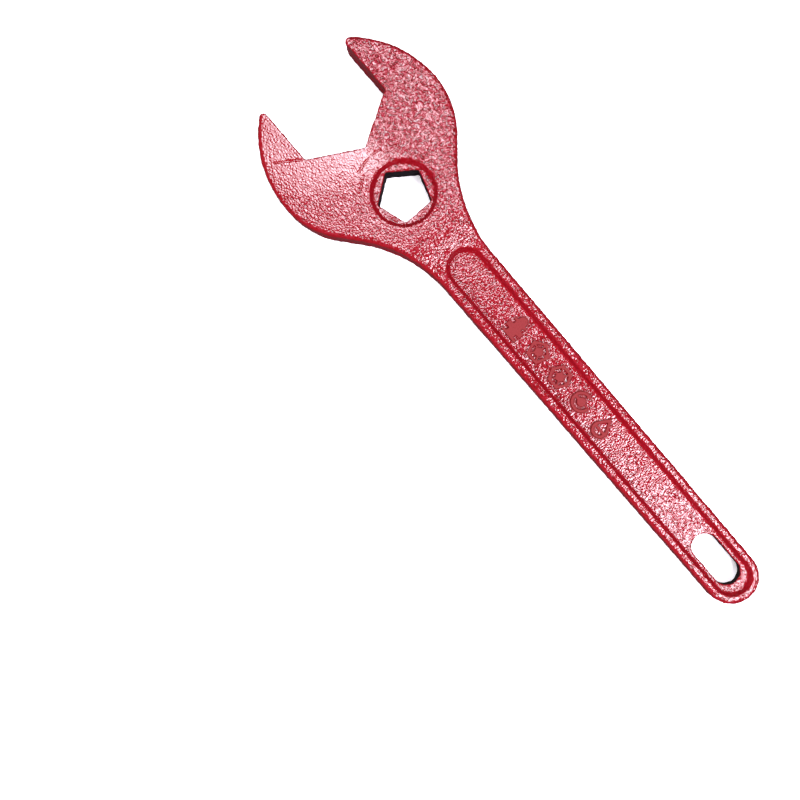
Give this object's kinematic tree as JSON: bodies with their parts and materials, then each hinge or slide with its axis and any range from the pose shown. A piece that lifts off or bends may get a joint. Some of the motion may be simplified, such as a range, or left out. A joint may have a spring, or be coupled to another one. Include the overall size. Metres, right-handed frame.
{
  "type": "fire hydrant wrench",
  "caption": "Flat cast wrench with an open hexagonal mouth, a pentagonal through socket and a long handle with a sunk panel and a hanging slot.",
  "frame": {"origin": "on the axis of the pentagonal socket, at the level of the casting's flat back", "axes": "+X along the handle towards the hanging slot, so the mouth opens towards -X; +Z out of the front face; +Y across the handle"},
  "size_m": [0.3999, 0.116, 0.018],
  "materials": {
    "red_enamel": "thick red gloss enamel over rough cast iron"
  },
  "bodies": {
    "root": {"upper_jaw": "red_enamel", "lower_jaw": "red_enamel", "socket_boss": "red_enamel", "socket_floor": "red_enamel", "neck": "red_enamel", "handle_web": "red_enamel", "upper_rail": "red_enamel", "lower_rail": "red_enamel", "hanging_eye": "red_enamel", "hydrant_mark": "red_enamel", "pentagon_mark": "red_enamel", "hexagon_mark": "red_enamel", "arrow_mark": "red_enamel", "drop_mark": "red_enamel"}
  },
  "joints": []
}
